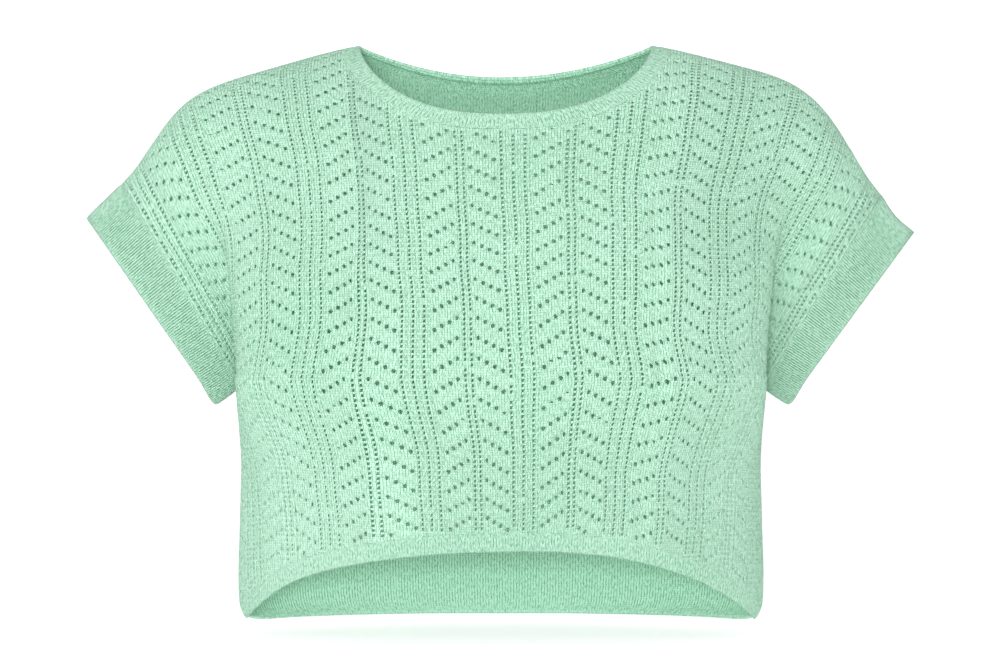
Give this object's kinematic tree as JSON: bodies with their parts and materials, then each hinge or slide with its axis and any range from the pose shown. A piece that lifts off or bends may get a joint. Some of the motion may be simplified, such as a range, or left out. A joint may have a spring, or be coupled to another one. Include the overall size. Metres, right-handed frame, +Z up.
{
  "type": "cropped sweater",
  "caption": "Short-sleeved cropped sweater in openwork knit with ribbed bands, filled out as worn and hollow inside.",
  "frame": {"origin": "midway between the two neck points, at the height where the shoulders of the wearer carry the garment", "axes": "+Z up, +X to the wearer's left, the chest faces -Y"},
  "size_m": [0.661, 0.2112, 0.4658],
  "materials": {
    "lace_knit": "matte",
    "rib_knit": "matte"
  },
  "bodies": {
    "root": {"front_panel": "lace_knit", "back_panel": "lace_knit", "neckband": "rib_knit", "cuff_right": "rib_knit", "cuff_left": "rib_knit", "hem_band_front": "rib_knit", "hem_band_back": "rib_knit"}
  },
  "joints": []
}
